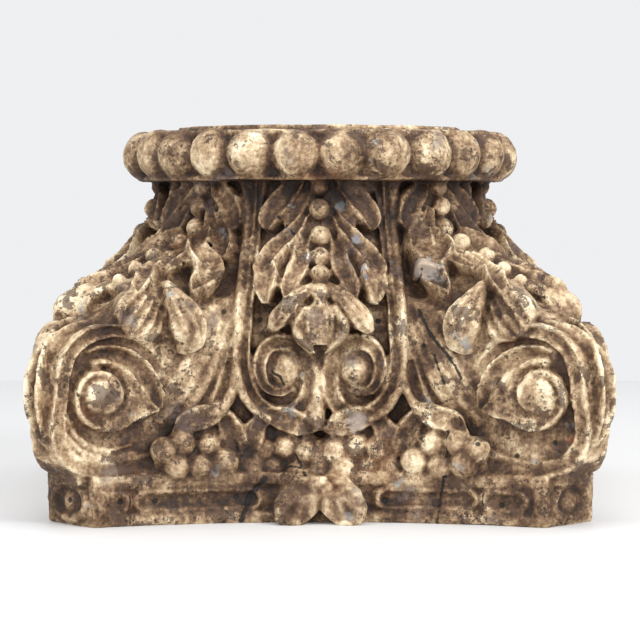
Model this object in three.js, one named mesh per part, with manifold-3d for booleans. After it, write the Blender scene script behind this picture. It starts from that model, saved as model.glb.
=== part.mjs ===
// A carved wooden Corinthian capital, shown as it is displayed: upside down, standing on its
// abacus with the neck ring of beads at the top. Millimetres, +Z up, the front face looks
// along -Y, and the origin is at the middle of the abacus, on the surface it stands on.
//
// One block carries everything, so the capital is one closed solid. Its body is a stack of
// sections that pass from the round neck to the four-cornered foot of the bell, and the carving
// is laid on that body by a chart: a place across a face and a height give a point of the body.
import * as THREE from "three";
import { mergeVertices } from "three/addons/utils/BufferGeometryUtils.js";
import Module from "manifold-3d";

const wasm = await Module();
wasm.setup();

const { cos, sin, tan, hypot, atan2, PI, SQRT1_2, min, max, abs, sign } = Math;
const DEG = PI / 180;

// Overall
const HEIGHT = 292; // floor to the seat that a column shaft stood on
const FACES = 4;

// Abacus, the slab that it stands on
const ABACUS_HEIGHT = 37;
const ABACUS_REACH = 200; // axis to the end of a hollow side, straight out
const ABACUS_HORN = 162; // axis to the same corner, measured along the side
const ABACUS_HOLLOW = 32; // depth of the hollow in each side
const PLINTH_BAND = 8; // plain band at the foot
const FASCIA_BAND = 10; // plain band at the top
const PANEL_DEPTH = 3; // the sunk band between the two

// Bell
const NECK_RADIUS = 118;
const BELL_RADIUS = 124; // half way down
const BELL_FOOT_RADIUS = 150; // where the bell meets the abacus

// Neck ring of beads and the seat above it
const BEAD_COUNT = 26;
const RING_RADIUS = 157; // outside of the beads
const BEAD_DEPTH = 19; // half a bead, measured away from the axis
const RING_FOOT = 249.5; // underside of the fillet that the beads sit on
const FILLET_HEIGHT = 4;
const FILLET_RADIUS = 149;
const SEAT_RADIUS = 112;
const SEAT_RISE = 4;

// Corner volutes
const VOLUTE_REACH = 284; // axis to the rim, along the diagonal
const VOLUTE_RIM = 16; // width of the rim at its tip
const VOLUTE_SPLAY = 23.5; // degrees between a volute's face and the diagonal
const VOLUTE_TOP = 149;
const EYE_HEIGHT = 96;
const EYE_INSET = 42; // from the rim's edge to the eye, along the volute's face
const EYE_RADIUS = 13;
const SCROLL_RADIUS = 61; // the scroll's outermost turn, below the eye
const SCROLL_PITCH = 14.5; // what the scroll's radius loses in each turn
const STRAP_WIDTH = 4.5; // half the width of the scroll's raised edge
const STRAP_HEIGHT = 5; // how far it stands off the face

// Leaves, stems and fruit
const LEAF_RELIEF = 9;
const STEM_X = 50; // from the middle of a face to a stem, at the neck
const STEM_WIDTH = 9;
const STEM_RELIEF = 9;
const HELIX_X = 27; // from the middle of a face to a helix's eye
const HELIX_HEIGHT = 110;
const HELIX_RADIUS = 30;
const HELIX_PITCH = 13;
const BERRY_RADIUS = 11;
const BUNCH_INNER_X = 25; // from the middle of a face to the middle of a bunch of grapes
const BUNCH_OUTER_X = 87;
const BUNCH_HEIGHT = 52;
const FLOWER_REACH = 189; // axis to the tips of the two leaves on the abacus
const FLOWER_SPREAD = 36;
const CORNER_HEAD_REACH = 214; // axis to the curled head of a corner leaf, along the diagonal

const splay = tan(VOLUTE_SPLAY * DEG);
const abacusTop = ABACUS_HEIGHT;
const ringTop = HEIGHT - SEAT_RISE;

// Straight-line look-up: the value at x on a line through [x, value] pairs.
function along(points, x) {
  if (x <= points[0][0]) return points[0][1];
  for (let i = 1; i < points.length; i++) {
    const [x1, v1] = points[i];
    const [x0, v0] = points[i - 1];
    if (x <= x1) return v0 + ((v1 - v0) * (x - x0)) / (x1 - x0);
  }
  return points[points.length - 1][1];
}

// Radius of the round bell at a height.
const bellProfile = [
  [abacusTop, BELL_FOOT_RADIUS],
  [VOLUTE_TOP, BELL_RADIUS],
  [RING_FOOT, NECK_RADIUS],
];
const bellRadius = (z) => along(bellProfile, z);

// Reach of the body along a diagonal: the volute's rim below, the corner leaf's back above it.
const volute = (share) => abacusTop + (VOLUTE_TOP - abacusTop) * share;
const leafBack = (share) => VOLUTE_TOP + (RING_FOOT - VOLUTE_TOP) * share;
const diagonalProfile = [
  [volute(0), VOLUTE_REACH - 22],
  [volute(0.1), VOLUTE_REACH - 9],
  [volute(0.25), VOLUTE_REACH - 3],
  [volute(0.5), VOLUTE_REACH],
  [volute(0.72), VOLUTE_REACH - 6],
  [volute(0.9), VOLUTE_REACH - 20],
  [volute(1), VOLUTE_REACH - 46],
  [leafBack(0.03), CORNER_HEAD_REACH - 22],
  [leafBack(0.16), NECK_RADIUS + 46],
  [leafBack(0.35), NECK_RADIUS + 22],
  [leafBack(0.6), NECK_RADIUS + 8],
  [leafBack(1), NECK_RADIUS],
];

// Radius of the body at an angle from the nearest diagonal and a height. Below the volute's top
// the flat face of the volute sets it, and above that it rounds off into the bell.
function bodyRadius(fromDiagonal, z) {
  const a = abs(fromDiagonal);
  const reach = along(diagonalProfile, z);
  const face = (VOLUTE_RIM / 2 + VOLUTE_REACH * splay) / (sin(a) + cos(a) * splay);
  const tip = z < VOLUTE_TOP ? reach / cos(a) : reach;
  return max(bellRadius(z), min(face, tip));
}

const quarter = PI / 2;

// A frame looks along its own outward direction: a face's, or a corner's diagonal.
function frameOf(heading) {
  const out = new THREE.Vector3(cos(heading), sin(heading), 0);
  const across = new THREE.Vector3(-sin(heading), cos(heading), 0);
  return { heading, out, across };
}
const faceFrame = (i) => frameOf(-quarter + i * quarter);
const cornerFrame = (i) => frameOf(-quarter / 2 + i * quarter);

// The chart: the point of the body at a distance across a frame and a height.
function bodyPoint(frame, x, z) {
  let near = 0;
  let far = 2 * VOLUTE_REACH;
  for (let i = 0; i < 28; i++) {
    const y = (near + far) / 2;
    const turn = frame.heading + atan2(x, y) + FACES * quarter;
    if (hypot(x, y) > bodyRadius((turn % quarter) - quarter / 2, z)) far = y;
    else near = y;
  }
  return frame.out
    .clone()
    .multiplyScalar((near + far) / 2)
    .addScaledVector(frame.across, x)
    .setZ(z);
}

// The same, with the outward normal, and lifted off the body along it.
function onBody(frame, x, z, lift = 0) {
  const step = 3;
  const p = bodyPoint(frame, x, z);
  const dx = bodyPoint(frame, x + step, z).sub(bodyPoint(frame, x - step, z));
  const dz = bodyPoint(frame, x, z + step).sub(bodyPoint(frame, x, z - step));
  const normal = dx.cross(dz).normalize();
  if (normal.dot(frame.out) < 0) normal.negate();
  return { p: p.addScaledVector(normal, lift), normal };
}

// A point of the flat face of a volute, seen from a face's frame. x is across the face, with its
// sign, and the face runs on past the volute towards the middle of the bell.
const rimEdgeX = (VOLUTE_REACH - VOLUTE_RIM / 2) * SQRT1_2;
const rimEdgeY = (VOLUTE_REACH + VOLUTE_RIM / 2) * SQRT1_2;
const faceSlope = tan(45 * DEG - VOLUTE_SPLAY * DEG);
const faceStretch = hypot(1, faceSlope);
const eyeX = rimEdgeX - EYE_INSET / faceStretch;
function onVolute(frame, x, z, lift = 0) {
  const y = rimEdgeY - (rimEdgeX - abs(x)) * faceSlope;
  const normal = frame.out
    .clone()
    .addScaledVector(frame.across, -faceSlope * sign(x))
    .normalize();
  const p = frame.out.clone().multiplyScalar(y).addScaledVector(frame.across, x).setZ(z);
  return { p: p.addScaledVector(normal, lift), normal };
}

// A three.js geometry as a manifold-3d solid.
function solid(geometry) {
  const bare = geometry.clone();
  bare.deleteAttribute("normal");
  bare.deleteAttribute("uv");
  const merged = mergeVertices(bare, 1e-4);
  return new wasm.Manifold(
    new wasm.Mesh({
      numProp: 3,
      vertProperties: new Float32Array(merged.attributes.position.array),
      triVerts: new Uint32Array(merged.index.array),
    }),
  );
}

// A closed skin over rings of points that have the same count, with a fan at each end.
function skin(rings) {
  const points = rings.flat();
  const n = rings[0].length;
  const triangles = [];
  for (let r = 0; r + 1 < rings.length; r++)
    for (let i = 0; i < n; i++) {
      const a = r * n + i;
      const b = r * n + ((i + 1) % n);
      triangles.push(a, b, b + n, a, b + n, a + n);
    }
  const centre = (ring) =>
    ring.reduce((sum, p) => sum.add(p), new THREE.Vector3()).divideScalar(n);
  const last = (rings.length - 1) * n;
  const foot = points.push(centre(rings[0])) - 1;
  const head = points.push(centre(rings[rings.length - 1])) - 1;
  for (let i = 0; i < n; i++) {
    const next = (i + 1) % n;
    triangles.push(foot, next, i, head, last + i, last + next);
  }
  const geometry = new THREE.BufferGeometry().setFromPoints(points);
  geometry.setIndex(triangles);
  return solid(geometry);
}

// A strap, lobe or stem: sections square to a route, each with its own width and height. The
// route is a list of { p, normal }, and each section stands on the body and sinks into it. A
// ridge has one edge on top, and with a flat crown it has two.
function strap(route, width, height, sink = 6, crown = 0) {
  const rings = route.map(({ p, normal }, i) => {
    const before = route[max(i - 1, 0)].p;
    const after = route[min(i + 1, route.length - 1)].p;
    const side = after.clone().sub(before).cross(normal).normalize();
    const t = i / (route.length - 1);
    const w = width(t);
    const h = height(t);
    const corner = (s, n) => p.clone().addScaledVector(side, s).addScaledVector(normal, n);
    const top = crown ? [corner(-w * crown, h), corner(w * crown, h)] : [corner(0, h)];
    return [corner(-w, -sink), ...top, corner(w, -sink)];
  });
  return skin(rings);
}

// A grape or a scroll's eye: a ball of twenty facets, a little larger than round so that it
// looks its size, set on the body.
function ball({ p }, radius) {
  return solid(new THREE.IcosahedronGeometry(radius * 1.08, 0).translate(...p.toArray()));
}

// Points of a scroll about an eye. The turn is measured from straight below, outwards and up.
function scroll(x, z, radius, pitch, from, to, step, stretch = 1) {
  const points = [];
  for (let turn = from; turn <= to; turn += step) {
    const r = radius - pitch * turn;
    points.push([x + (r * sin(turn * 2 * PI)) / stretch, z - r * cos(turn * 2 * PI)]);
  }
  return points;
}

const parts = [];
const mirrored = [-1, 1];

// The abacus: its plan has four hollow sides and four cut corners.
function abacusRing(inset, z) {
  const ring = [];
  const steps = 4;
  for (let i = 0; i < FACES; i++) {
    const { out, across } = faceFrame(i);
    for (let k = 0; k <= steps; k++) {
      const share = (2 * k) / steps - 1;
      const y = ABACUS_REACH - inset - ABACUS_HOLLOW * (1 - share * share);
      const x = share * (ABACUS_HORN - inset / 2);
      ring.push(out.clone().multiplyScalar(y).addScaledVector(across, x).setZ(z));
    }
  }
  return ring;
}
const panelTop = ABACUS_HEIGHT - FASCIA_BAND;
parts.push(
  skin([
    abacusRing(0, 0),
    abacusRing(0, PLINTH_BAND),
    abacusRing(PANEL_DEPTH, PLINTH_BAND + 1),
    abacusRing(PANEL_DEPTH, panelTop - 1),
    abacusRing(0, panelTop),
    abacusRing(0, ABACUS_HEIGHT),
  ]),
);

// The body of the bell and the volutes.
const rimAngle = atan2(VOLUTE_RIM / 2, VOLUTE_REACH) / DEG;
const bodyAngles = [rimAngle, 12, 30];
function bodyRing(z) {
  const ring = [];
  for (let i = 0; i < FACES; i++) {
    const angles = [...bodyAngles.map((a) => -a).reverse(), ...bodyAngles, 45];
    for (const a of angles) {
      const r = bodyRadius(a * DEG, z);
      const turn = cornerFrame(i).heading + a * DEG;
      ring.push(new THREE.Vector3(r * cos(turn), r * sin(turn), z));
    }
  }
  return ring;
}
const bodyHeights = [0, 0.12, 0.5, 0.8, 1].map(volute);
const shoulderHeights = [0.03, 0.16, 0.4, 1].map(leafBack);
parts.push(
  skin([
    ...[abacusTop - 2, ...bodyHeights, ...shoulderHeights].map(bodyRing),
    bodyRing(RING_FOOT + FILLET_HEIGHT),
  ]),
);

// The neck ring: each bead is three facets round, between grooves, on a plain fillet.
const facetsPerBead = 3;
function ringOf(radius, z, bulge = 0) {
  const ring = [];
  for (let i = 0; i < BEAD_COUNT * facetsPerBead; i++) {
    const turn = -quarter + (i * 2 * PI) / (BEAD_COUNT * facetsPerBead);
    const r = i % facetsPerBead ? radius : radius - bulge;
    ring.push(new THREE.Vector3(r * cos(turn), r * sin(turn), z));
  }
  return ring;
}
const beadFoot = RING_FOOT + FILLET_HEIGHT;
const beadAt = (share) => beadFoot + (ringTop - beadFoot) * share;
const grooveDepth = BEAD_DEPTH * 0.6;
parts.push(
  skin([
    ringOf(FILLET_RADIUS - FILLET_HEIGHT / 2, RING_FOOT),
    ringOf(FILLET_RADIUS, beadFoot),
    ringOf(RING_RADIUS, beadAt(0.3), grooveDepth),
    ringOf(RING_RADIUS, beadAt(0.68), grooveDepth),
    ringOf(RING_RADIUS - grooveDepth, ringTop, grooveDepth / 4),
  ]),
);
const seat = new THREE.CylinderGeometry(SEAT_RADIUS, SEAT_RADIUS, 2 * SEAT_RISE, BEAD_COUNT);
seat.rotateX(PI / 2);
seat.translate(0, 0, ringTop);
parts.push(solid(seat));

// A leaf: one skin over chevrons that droop from the midrib to the leaf's edge. A wide chevron
// carries a pair of lobes and a narrow one is the notch between two pairs, so the midrib swells
// and shrinks like a row of beads. Each entry is the midrib's height, the half-width, the droop
// of the edge and how far the leaf stands off the body there.
function leaf(frame, chevrons) {
  const rings = chevrons.map(([z, half, droop, lift], i) => {
    const lobed = i % 2;
    const rib = LEAF_RELIEF * (lobed ? 1.5 : 1.1);
    const crown = LEAF_RELIEF * (lobed ? 1.2 : 0.5);
    const section = [
      [-1, -lift * 0.8],
      [-0.6, crown],
      [0, rib],
      [0.6, crown],
      [1, -lift * 0.8],
    ];
    return section.map(([s, n]) => onBody(frame, s * half, z - droop * abs(s), lift + n).p);
  });
  return skin(rings.reverse());
}

const faceLeaf = [
  [leafBack(1.0), 12, 2, 2],
  [leafBack(0.88), 41, 24, 3],
  [leafBack(0.7), 13, 4, 5],
  [leafBack(0.58), 34, 24, 10],
  [leafBack(0.4), 12, 4, 16],
  [leafBack(0.3), 25, 16, 24],
  [leafBack(0.12), 11, 0, 32],
  [volute(0.98), 38, 8, 22],
  [volute(0.76), 12, 0, 8],
];
const cornerLeaf = [
  [leafBack(1.0), 12, 2, 0],
  [leafBack(0.92), 34, 22, 1],
  [leafBack(0.78), 13, 4, 2],
  [leafBack(0.66), 36, 26, 3],
  [leafBack(0.48), 14, 4, 4],
  [leafBack(0.36), 44, 30, 6],
  [leafBack(0.22), 20, 6, 8],
];

// The curled head of a corner leaf, which hangs over the volute.
function cornerHead(frame) {
  const at = (r, z) => frame.out.clone().multiplyScalar(r).setZ(z);
  const tilt = (dr, dz) => frame.out.clone().multiplyScalar(dr).setZ(dz).normalize();
  const reach = CORNER_HEAD_REACH;
  const tongue = [
    { p: at(reach - 66, VOLUTE_TOP + 34), normal: tilt(0.7, 0.7) },
    { p: at(reach - 36, VOLUTE_TOP + 12), normal: tilt(0.4, 0.9) },
    { p: at(reach - 10, VOLUTE_TOP + 3), normal: tilt(0.2, 1) },
    { p: at(reach + 14, VOLUTE_TOP - 2), normal: tilt(0.2, 1) },
  ];
  parts.push(strap(tongue, (t) => 20 + 34 * t * (1 - t), () => 7, 14, 0.6));
  for (const side of mirrored) {
    const route = [
      [13, VOLUTE_TOP + 29, 5],
      [37, VOLUTE_TOP + 9, 12],
      [43, VOLUTE_TOP - 27, 8],
    ].map(([x, z, lift]) => onBody(frame, side * x, z, lift));
    parts.push(strap(route, (t) => 11 + 20 * t * (1 - t), () => 9, 14));
  }
}

// A volute's scroll, as seen from one face: the strap's edge rises as a stem beside the middle of
// the face, runs along the foot, and winds in to the eye.
function voluteScroll(frame, side) {
  const turns = scroll(eyeX, EYE_HEIGHT, SCROLL_RADIUS, SCROLL_PITCH, 0.95, 2.3, 1 / 6, faceStretch);
  const stem = [
    [STEM_X + 11, volute(1.07)],
    [STEM_X + 22, volute(0.75)],
    [STEM_X + 38, volute(0.43)],
    [STEM_X + 62, volute(0.25)],
  ];
  const route = [...stem, ...turns].map(([x, z]) => onVolute(frame, side * x, z));
  parts.push(strap(route, () => STRAP_WIDTH, (t) => STRAP_HEIGHT * (1 + t * 0.6), STRAP_HEIGHT));
  parts.push(ball(onVolute(frame, side * eyeX, EYE_HEIGHT, -EYE_RADIUS * 0.3), EYE_RADIUS));
}

// A helix: the small scroll that curls in under the middle leaf, on its own stem, which opens
// as a calyx under the neck ring.
function helix(frame, side) {
  const turns = scroll(HELIX_X, HELIX_HEIGHT, HELIX_RADIUS, HELIX_PITCH, 0.12, 1.12, 1 / 6);
  const stem = [
    [STEM_X - 3, leafBack(1)],
    [STEM_X + 4, leafBack(0.3)],
    [STEM_X + 9, volute(0.55)],
  ];
  const route = [...stem, ...turns].map(([x, z]) => onBody(frame, side * x, z));
  const width = (t) => STEM_WIDTH * (t > 0 ? 0.62 : 1.2);
  parts.push(strap(route, width, () => STEM_RELIEF, STEM_RELIEF));
  const eye = onBody(frame, side * HELIX_X, HELIX_HEIGHT, -EYE_RADIUS * 0.2);
  parts.push(ball(eye, EYE_RADIUS));
}

// A bunch of grapes: three of them, placed about its middle in shares of a grape's radius.
function bunch(frame, x) {
  const s = sign(x);
  const lift = BERRY_RADIUS * 0.7;
  const berries = [
    [-1.1, 0.2],
    [0.7, 0.7],
    [0.5, -1.2],
  ];
  for (const [dx, dz] of berries) {
    const spot = onBody(frame, x + s * dx * BERRY_RADIUS, BUNCH_HEIGHT + dz * BERRY_RADIUS, lift);
    parts.push(ball(spot, BERRY_RADIUS));
  }
}

// The two leaves that stand for the flower in the middle of each side of the abacus.
function flower(frame) {
  const depth = ABACUS_REACH - ABACUS_HOLLOW;
  for (const side of mirrored) {
    const route = [
      [side * 8, ABACUS_HEIGHT + 6, depth - 2],
      [side * (FLOWER_SPREAD - 13), PLINTH_BAND / 2, FLOWER_REACH - LEAF_RELIEF],
    ].map(([x, z, y]) => ({
      p: frame.out.clone().multiplyScalar(y).addScaledVector(frame.across, x).setZ(z),
      normal: frame.out.clone(),
    }));
    parts.push(strap(route, (t) => 7 + 9 * t, () => LEAF_RELIEF, 2 * LEAF_RELIEF, 0.6));
  }
}

for (let i = 0; i < FACES; i++) {
  const face = faceFrame(i);
  parts.push(leaf(face, faceLeaf));
  for (const side of mirrored) {
    voluteScroll(face, side);
    helix(face, side);
    bunch(face, side * BUNCH_INNER_X);
    bunch(face, side * BUNCH_OUTER_X);
  }
  flower(face);
  const corner = cornerFrame(i);
  parts.push(leaf(corner, cornerLeaf));
  cornerHead(corner);
}

// Joins the pieces two by two, and keeps what is above the floor.
function joined(list) {
  if (list.length === 1) return list[0];
  const half = list.length >> 1;
  return joined(list.slice(0, half)).add(joined(list.slice(half)));
}
const roomy = 4 * VOLUTE_REACH;
const ground = new THREE.BoxGeometry(roomy, roomy, HEIGHT).translate(0, 0, -HEIGHT / 2);
const carved = joined(parts).subtract(solid(ground));

// Crossing carvings can shut in a pocket of air. Wood has none, so only the outer skin is kept.
const outer = joined(carved.decompose().filter((body) => body.volume() > 0));

const shape = outer.getMesh();
const geometry = new THREE.BufferGeometry();
geometry.setAttribute("position", new THREE.BufferAttribute(shape.vertProperties, 3));
geometry.setIndex(new THREE.BufferAttribute(shape.triVerts, 1));
geometry.computeVertexNormals();

const paintedWood = new THREE.MeshStandardMaterial({ color: 0xb39a72, roughness: 0.6, metalness: 0 });
const capital = new THREE.Mesh(geometry, paintedWood);
capital.name = "capital";

const root = new THREE.Group();
root.add(capital);

export default root;
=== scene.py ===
# %% [markdown]
# # A carved wooden Corinthian capital
# The capital stands upside down on its abacus, with the ring of beads at the top. It is one block
# of wood, so it becomes one mesh here too. Each carved form is modelled on its own, laid on the
# bell by a chart, and then everything is fused the way it grew out of the block.

# %% Frame, camera and units
import math
import random
import bpy
import bmesh
import numpy as np
from mathutils import Vector, Matrix, noise
from mathutils.bvhtree import BVHTree


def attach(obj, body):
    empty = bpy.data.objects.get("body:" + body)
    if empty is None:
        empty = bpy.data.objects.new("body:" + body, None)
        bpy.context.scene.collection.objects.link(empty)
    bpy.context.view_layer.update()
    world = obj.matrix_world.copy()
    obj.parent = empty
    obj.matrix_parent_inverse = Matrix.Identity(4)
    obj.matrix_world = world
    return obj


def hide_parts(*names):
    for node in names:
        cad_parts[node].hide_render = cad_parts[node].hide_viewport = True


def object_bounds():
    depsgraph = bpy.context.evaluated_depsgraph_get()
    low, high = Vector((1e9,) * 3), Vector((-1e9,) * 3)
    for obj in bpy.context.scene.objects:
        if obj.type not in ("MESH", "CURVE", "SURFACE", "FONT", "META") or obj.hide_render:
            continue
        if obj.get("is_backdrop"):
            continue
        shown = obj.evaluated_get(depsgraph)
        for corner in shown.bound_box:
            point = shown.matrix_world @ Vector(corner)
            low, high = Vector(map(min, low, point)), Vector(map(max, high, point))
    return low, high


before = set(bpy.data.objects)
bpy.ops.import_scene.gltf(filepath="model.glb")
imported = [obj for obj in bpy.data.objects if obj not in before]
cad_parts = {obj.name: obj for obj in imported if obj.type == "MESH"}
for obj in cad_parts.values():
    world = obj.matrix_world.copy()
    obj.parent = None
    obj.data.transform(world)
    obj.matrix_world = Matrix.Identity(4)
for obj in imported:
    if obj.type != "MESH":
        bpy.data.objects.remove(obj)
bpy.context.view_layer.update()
scene = bpy.context.scene
MM = 0.001
HEIGHT = 292.0

PICTURE = 640
FOCAL = 2383.0
HORIZON = 200.0
CAMERA_BACK = 1900.0
CAMERA_UP = 235.3
pitch = math.atan((PICTURE / 2 - HORIZON) / FOCAL)
lens = bpy.data.cameras.new("camera")
camera = bpy.data.objects.new("camera", lens)
scene.collection.objects.link(camera)
scene.camera = camera
lens.sensor_width = 36
lens.lens = FOCAL / PICTURE * lens.sensor_width
camera.location = (0, -CAMERA_BACK * MM, CAMERA_UP * MM)
camera.rotation_euler = (math.pi / 2 - pitch, 0, 0)

# %% [markdown]
# ## The block
# Under the carving is a bell: round at the neck, and drawn out along the four diagonals into
# wedges, the volutes. A chart turns a place across a face and a height into a point of that block
# and the direction that it faces, so carving can be drawn flat and laid on, as a carver does with
# a paper pattern.

# %% The chart
QUARTER = math.pi / 2
SPLAY_ANGLE = 23.5
SPLAY = math.tan(math.radians(SPLAY_ANGLE))
REACH = 284.0
RIM = 16.0
VOLUTE_TOP = 149
BELOW_TOP = VOLUTE_TOP - 0.1
SHOULDER = 1.9
DIAGONAL = [(37, 262), (48, 275), (65, 281), (93, 284), (118, 278), (138, 264), (VOLUTE_TOP, 238),
            (152, 192), (165, 164), (184, 140), (209, 126), (249.5, 118)]
BELL = [(37, 150), (VOLUTE_TOP, 124), (249.5, 118)]


def table(points, value):
    known = np.array(points, float)
    return np.interp(value, known[:, 0], known[:, 1])


def block_radius(turn, z):
    a = np.abs(turn % QUARTER - QUARTER / 2)
    reach = table(DIAGONAL, z)
    face = (RIM / 2 + REACH * SPLAY) / (np.sin(a) + np.cos(a) * SPLAY)
    tip = np.where(z < VOLUTE_TOP, reach / np.cos(a), reach)
    wedge = np.minimum(face, table(DIAGONAL, np.minimum(z, BELOW_TOP)) / np.cos(a))
    shoulder = wedge - SHOULDER * np.maximum(z - VOLUTE_TOP, 0)
    return np.maximum(np.maximum(table(BELL, z), np.minimum(face, tip)), shoulder)


def block_point(heading, x, z):
    near, far = np.zeros_like(x), np.full_like(x, 2 * REACH)
    for _ in range(24):
        y = (near + far) / 2
        outside = np.hypot(x, y) > block_radius(heading + np.arctan2(x, y), z)
        far, near = np.where(outside, y, far), np.where(outside, near, y)
    out = np.array([math.cos(heading), math.sin(heading), 0])
    side = np.array([-math.sin(heading), math.cos(heading), 0])
    return y[:, None] * out + x[:, None] * side + z[:, None] * np.array([0, 0, 1.0])


def unit(rows):
    return rows / np.maximum(np.linalg.norm(rows, axis=-1, keepdims=True), 1e-9)


def surfaced(point_at, out):
    def place(x, z):
        point = point_at(x, z)
        dx = point_at(x + 4, z) - point_at(x - 4, z)
        dz = point_at(x, z + 4) - point_at(x, z - 4)
        normal = unit(np.cross(dx, dz))
        normal *= np.where(normal @ out < 0, -1, 1)[:, None]
        return point, normal

    return place


def on_block(heading):
    out = np.array([math.cos(heading), math.sin(heading), 0])
    return surfaced(lambda x, z: block_point(heading, x, z), out)


FRONT = -QUARTER
CORNER = -QUARTER / 2
on_face = on_block(FRONT)
on_corner = on_block(CORNER)
OUT = np.array([0, -1.0, 0])


def on_front(x, z):
    return on_face(x, z)[0], np.broadcast_to(OUT, (len(x), 3))


# %% [markdown]
# The volutes have flat faces, which lean back from the corners towards the middle of the bell.

# %% The flat face of a volute
EDGE_X = (REACH - RIM / 2) * math.sqrt(0.5)
EDGE_Y = (REACH + RIM / 2) * math.sqrt(0.5)
LEAN = math.tan(math.radians(45 - SPLAY_ANGLE))
STRETCH = math.hypot(1, LEAN)
EYE_X = EDGE_X - 39.5 / STRETCH
EYE_Z = 96.0


def on_volute(x, z):
    y = EDGE_Y - (EDGE_X - np.abs(x)) * LEAN
    point = np.stack([x, -y, z], axis=-1)
    normal = unit(np.stack([-LEAN * np.sign(x), -np.ones_like(x), 0 * x], axis=-1))
    return point, normal


# %% [markdown]
# ## The carver's strokes
# Nearly every form is a ribbon: a leaf, a stem or a scroll's edge that runs along a line, with a
# width, a height and a section. A bmesh grid is bent along the line and then thickened into the
# block by extruding its faces.

# %% Ribbons
def smooth_line(points, count):
    rows = np.array([(*p, 0) if len(p) == 2 else p for p in points], float)
    way = np.concatenate([[0], np.cumsum(np.linalg.norm(np.diff(rows, axis=0), axis=1))])
    if len(rows) == 2:
        t = np.linspace(0, 1, count)[:, None]
        return rows[0] * (1 - t) + rows[1] * t
    slope = np.gradient(rows, way, axis=0)
    at = np.linspace(0, way[-1], count)
    i = np.clip(np.searchsorted(way, at, side="right") - 1, 0, len(rows) - 2)
    h = (way[i + 1] - way[i])[:, None]
    t = ((at - way[i]) / h[:, 0])[:, None]
    return (rows[i] * (1 + 2 * t) * (1 - t) ** 2 + slope[i] * h * t * (1 - t) ** 2
            + rows[i + 1] * t * t * (3 - 2 * t) + slope[i + 1] * h * t * t * (t - 1))


def ribbon(bm, place, line, width, height, section, sink=10, steps=30, across=14):
    spine = smooth_line(line, steps)
    point, normal = place(spine[:, 0], spine[:, 1])
    point = point + normal * spine[:, 2:3]
    ahead = np.gradient(point, axis=0)
    side = unit(np.cross(ahead, normal))
    t = np.linspace(0, 1, steps)
    s = np.linspace(-1, 1, across)
    T, S = np.meshgrid(t, s, indexing="ij")
    rise = height(t)[:, None] * section(S, T)
    spread = width(t)[:, None] * S
    top = point[:, None] + side[:, None] * spread[..., None] + normal[:, None] * rise[..., None]
    depth = sink(t) if callable(sink) else np.full_like(t, sink)
    foot = point[:, None] + side[:, None] * (0.9 * spread)[..., None] - (normal * depth[:, None])[:, None]
    made = bmesh.ops.create_grid(bm, x_segments=steps - 1, y_segments=across - 1, size=1)["verts"]
    seat = bm.verts.layers.int["seat"]
    for v in made:
        i = round((v.co.x + 1) / 2 * (steps - 1))
        j = round((v.co.y + 1) / 2 * (across - 1))
        v[seat] = i * across + j
        v.co = top[i, j]
    faces = list({f for v in made for f in v.link_faces})
    copied = bmesh.ops.extrude_face_region(bm, geom=faces, use_keep_orig=True)["geom"]
    flat = foot.reshape(-1, 3)
    for v in copied:
        if isinstance(v, bmesh.types.BMVert):
            v.co = flat[v[seat]]


def new_shape():
    bm = bmesh.new()
    bm.verts.layers.int.new("seat")
    return bm


def soft(s, t):
    return np.sqrt(np.maximum(1 - s * s, 0))


def blunt(s, t):
    return soft(s, t) ** 0.3


def channel(s, t):
    wall = np.clip((1 - np.abs(s)) / 0.14, 0, 1) ** 0.5
    return wall * (0.38 + 0.62 * np.exp(-(((np.abs(s) - 0.74) / 0.24) ** 2)))


def leaflet(s, t):
    wall = np.clip((1 - np.abs(s)) / 0.16, 0, 1) ** 0.5
    return wall * (0.12 + 0.88 * np.abs(s) ** 1.5 + 0.22 * np.exp(-((s / 0.12) ** 2)))


def fluted(s, t):
    return soft(s, t) * (0.82 + 0.18 * np.cos(s * 5 * math.pi))


def veined(s, t):
    side_veins = 0.2 * np.cos((np.abs(s) * 1.2 - t * 1.9) * 2 * math.pi)
    return soft(s, t) * (0.8 + side_veins) - 0.36 * np.exp(-((s / 0.14) ** 2)) * (1 - 0.6 * t)


def grooved(s, t):
    return soft(s, t) * (0.82 + 0.18 * np.cos(s * 3 * math.pi))


def ribbed(s, t):
    return soft(s, t) * (0.68 + 0.32 * np.cos(s * 5 * math.pi))


def folded(s, t):
    return soft(s, t) * (0.7 + 0.3 * np.cos((s + 0.3 * t) * 3.4 * math.pi) * np.clip(1.5 - 1.5 * t, 0, 1))


def mirrored(side, points):
    return [(side * p[0], *p[1:]) for p in points]


def even(value):
    return lambda t: np.full_like(t, value)


def pointed(value):
    return lambda t: value * (0.35 + 1.6 * t * (1 - t)) * np.clip((1 - t) / 0.25, 0.08, 1) ** 0.6 * 1.35


def through(*pairs):
    return lambda t: table(pairs, t)


def ball(bm, centre, radii, turn=0.0, detail=3):
    matrix = Matrix.Translation(Vector(centre)) @ Matrix.Rotation(turn, 4, "Z") @ Matrix.Diagonal((*radii, 1))
    bmesh.ops.create_icosphere(bm, subdivisions=detail, radius=1, matrix=matrix)


def bead(bm, place, x, z, lift, radius, flat=0.8):
    point, normal = place(np.array([float(x)]), np.array([float(z)]))
    spot = point[0] + normal[0] * lift
    turn = math.atan2(normal[0][1], normal[0][0])
    ball(bm, spot, (radius * flat, radius, radius), turn)


print("strokes ready")

# %% [markdown]
# A stack of rings makes the bell, the abacus and the neck ring. A circle is placed on the lowest
# outline, and its edges are extruded from outline to outline up to the top, which is then closed.

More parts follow.
